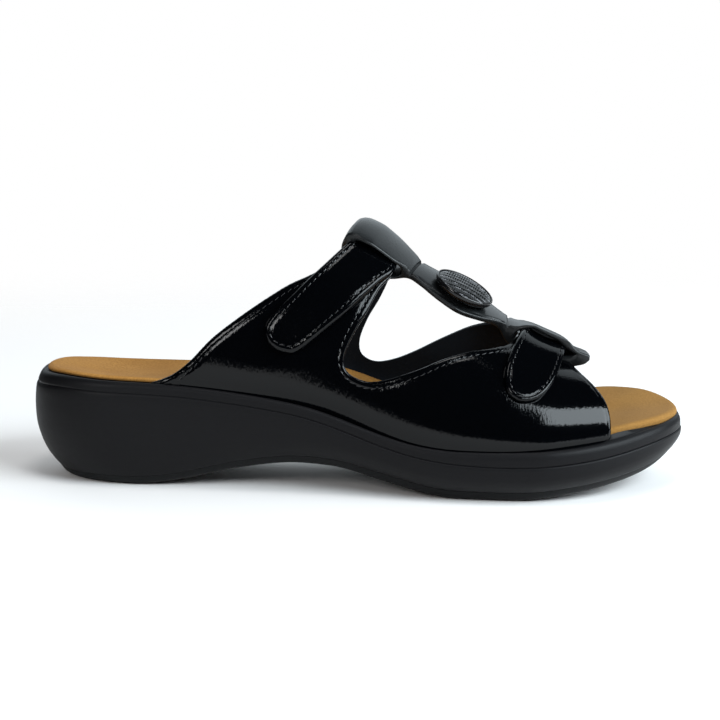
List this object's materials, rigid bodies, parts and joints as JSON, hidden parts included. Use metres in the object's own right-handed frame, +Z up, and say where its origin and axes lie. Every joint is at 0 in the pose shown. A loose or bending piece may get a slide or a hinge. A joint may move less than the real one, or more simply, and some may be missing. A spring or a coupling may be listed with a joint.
{
  "type": "open mule sandal",
  "caption": "Open women's comfort mule with a wedge sole, tan footbed, cut-out patent upper, two fastening straps through loops of a centre bridge, and a round button.",
  "frame": {"origin": "bottom centre of the bounding box: on the floor plane, halfway along the sole and halfway across it", "axes": "+X from heel to toe, +Y from the outer (lateral) to the inner (medial) side, +Z up"},
  "size_m": [0.2624, 0.0928, 0.1045],
  "materials": {
    "outsole_rubber": "matte",
    "sole_foam": "satin matte",
    "footbed": "napped",
    "patent": "high gloss",
    "bridge_leather": "smooth semi-matte",
    "button_plastic": "gloss",
    "button_texture": "fine ribs"
  },
  "bodies": {
    "root": {"outsole": "outsole_rubber", "midsole": "sole_foam", "insole": "footbed", "upper": "patent", "instep_strap": "patent", "forefoot_strap": "patent", "bridge": "bridge_leather", "button_cup": "button_plastic", "button_disc": "button_texture"}
  },
  "joints": []
}
